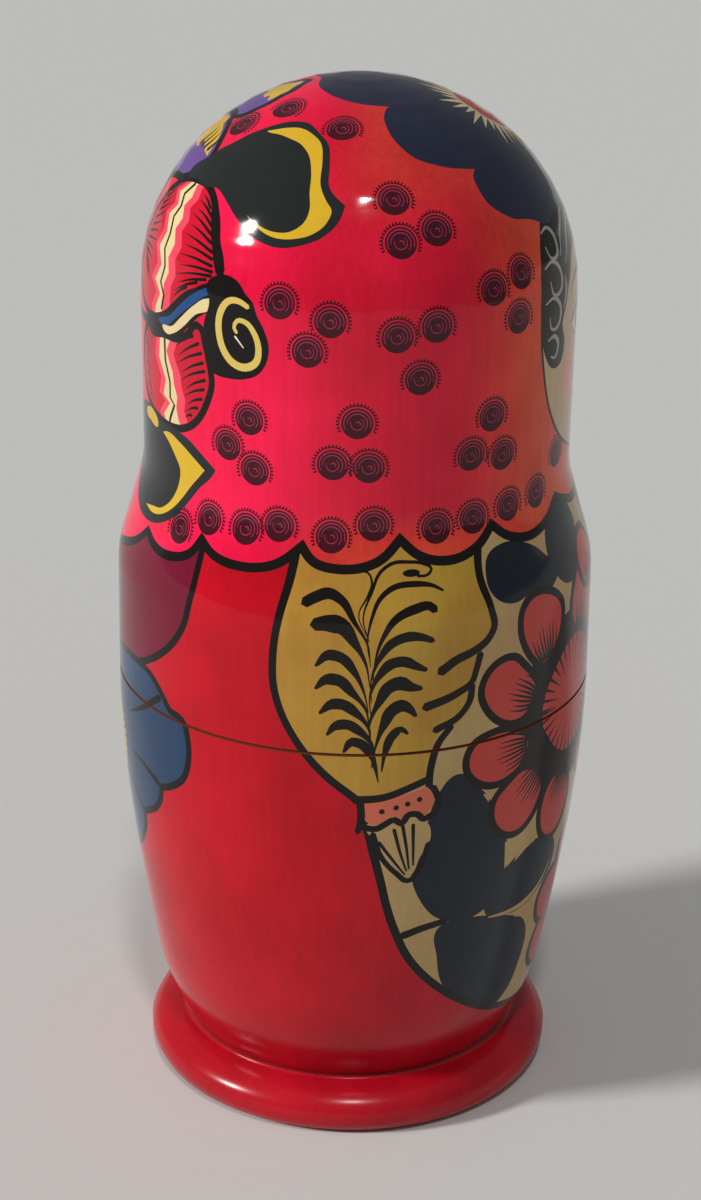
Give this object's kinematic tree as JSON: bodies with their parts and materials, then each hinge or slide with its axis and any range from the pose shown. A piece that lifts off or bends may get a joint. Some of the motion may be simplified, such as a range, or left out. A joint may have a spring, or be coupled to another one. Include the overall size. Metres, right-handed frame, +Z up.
{
  "type": "nesting doll",
  "caption": "Turned wooden nesting doll, painted and lacquered: hollow dolls in two halves with a spigot-and-socket seam, each holding the next smaller one down to a solid doll.",
  "frame": {"origin": "centre of the flat underside of the outer doll's foot", "axes": "+Z up along the turning axis, -Y towards the doll's face, +X to the right of someone facing it"},
  "size_m": [0.1244, 0.1244, 0.27],
  "materials": {
    "painted_lower": "red dye and painted ornament under gloss lacquer, bare lime wood inside",
    "painted_upper": "pink-red dye and painted ornament under gloss lacquer, bare lime wood inside",
    "painted_smallest": "dye and painted ornament under gloss lacquer"
  },
  "bodies": {
    "first_doll_lower": {"first_doll_lower": "painted_lower"},
    "first_doll_upper": {"first_doll_upper": "painted_upper"},
    "second_doll_lower": {"second_doll_lower": "painted_lower"},
    "second_doll_upper": {"second_doll_upper": "painted_upper"},
    "third_doll_lower": {"third_doll_lower": "painted_lower"},
    "third_doll_upper": {"third_doll_upper": "painted_upper"},
    "fourth_doll_lower": {"fourth_doll_lower": "painted_lower"},
    "fourth_doll_upper": {"fourth_doll_upper": "painted_upper"},
    "fifth_doll_lower": {"fifth_doll_lower": "painted_lower"},
    "fifth_doll_upper": {"fifth_doll_upper": "painted_upper"},
    "sixth_doll_lower": {"sixth_doll_lower": "painted_lower"},
    "sixth_doll_upper": {"sixth_doll_upper": "painted_upper"},
    "seventh_doll_lower": {"seventh_doll_lower": "painted_lower"},
    "seventh_doll_upper": {"seventh_doll_upper": "painted_upper"},
    "eighth_doll_lower": {"eighth_doll_lower": "painted_lower"},
    "eighth_doll_upper": {"eighth_doll_upper": "painted_upper"},
    "ninth_doll_lower": {"ninth_doll_lower": "painted_lower"},
    "ninth_doll_upper": {"ninth_doll_upper": "painted_upper"},
    "tenth_doll_solid": {"tenth_doll_solid": "painted_smallest"}
  },
  "joints": [
    {"name": "second_doll_lift", "type": "slide", "parent": "first_doll_lower", "child": "second_doll_lower", "axis": [0, 0, 1], "range_m": [0, 0.105]},
    {"name": "third_doll_lift", "type": "slide", "parent": "second_doll_lower", "child": "third_doll_lower", "axis": [0, 0, 1], "range_m": [0, 0.086]},
    {"name": "fourth_doll_lift", "type": "slide", "parent": "third_doll_lower", "child": "fourth_doll_lower", "axis": [0, 0, 1], "range_m": [0, 0.07]},
    {"name": "fifth_doll_lift", "type": "slide", "parent": "fourth_doll_lower", "child": "fifth_doll_lower", "axis": [0, 0, 1], "range_m": [0, 0.057]},
    {"name": "sixth_doll_lift", "type": "slide", "parent": "fifth_doll_lower", "child": "sixth_doll_lower", "axis": [0, 0, 1], "range_m": [0, 0.046]},
    {"name": "seventh_doll_lift", "type": "slide", "parent": "sixth_doll_lower", "child": "seventh_doll_lower", "axis": [0, 0, 1], "range_m": [0, 0.038]},
    {"name": "eighth_doll_lift", "type": "slide", "parent": "seventh_doll_lower", "child": "eighth_doll_lower", "axis": [0, 0, 1], "range_m": [0, 0.031]},
    {"name": "ninth_doll_lift", "type": "slide", "parent": "eighth_doll_lower", "child": "ninth_doll_lower", "axis": [0, 0, 1], "range_m": [0, 0.025]},
    {"name": "tenth_doll_lift", "type": "slide", "parent": "ninth_doll_lower", "child": "tenth_doll_solid", "axis": [0, 0, 1], "range_m": [0, 0.021]},
    {"name": "ninth_upper_lift", "type": "slide", "parent": "tenth_doll_solid", "child": "ninth_doll_upper", "axis": [0, 0, 1], "range_m": [0, 0.027]},
    {"name": "eighth_upper_lift", "type": "slide", "parent": "ninth_doll_upper", "child": "eighth_doll_upper", "axis": [0, 0, 1], "range_m": [0, 0.033]},
    {"name": "seventh_upper_lift", "type": "slide", "parent": "eighth_doll_upper", "child": "seventh_doll_upper", "axis": [0, 0, 1], "range_m": [0, 0.041]},
    {"name": "sixth_upper_lift", "type": "slide", "parent": "seventh_doll_upper", "child": "sixth_doll_upper", "axis": [0, 0, 1], "range_m": [0, 0.05]},
    {"name": "fifth_upper_lift", "type": "slide", "parent": "sixth_doll_upper", "child": "fifth_doll_upper", "axis": [0, 0, 1], "range_m": [0, 0.062]},
    {"name": "fourth_upper_lift", "type": "slide", "parent": "fifth_doll_upper", "child": "fourth_doll_upper", "axis": [0, 0, 1], "range_m": [0, 0.076]},
    {"name": "third_upper_lift", "type": "slide", "parent": "fourth_doll_upper", "child": "third_doll_upper", "axis": [0, 0, 1], "range_m": [0, 0.094]},
    {"name": "second_upper_lift", "type": "slide", "parent": "third_doll_upper", "child": "second_doll_upper", "axis": [0, 0, 1], "range_m": [0, 0.115]},
    {"name": "first_upper_lift", "type": "slide", "parent": "second_doll_upper", "child": "first_doll_upper", "axis": [0, 0, 1], "range_m": [0, 0.141]}
  ]
}
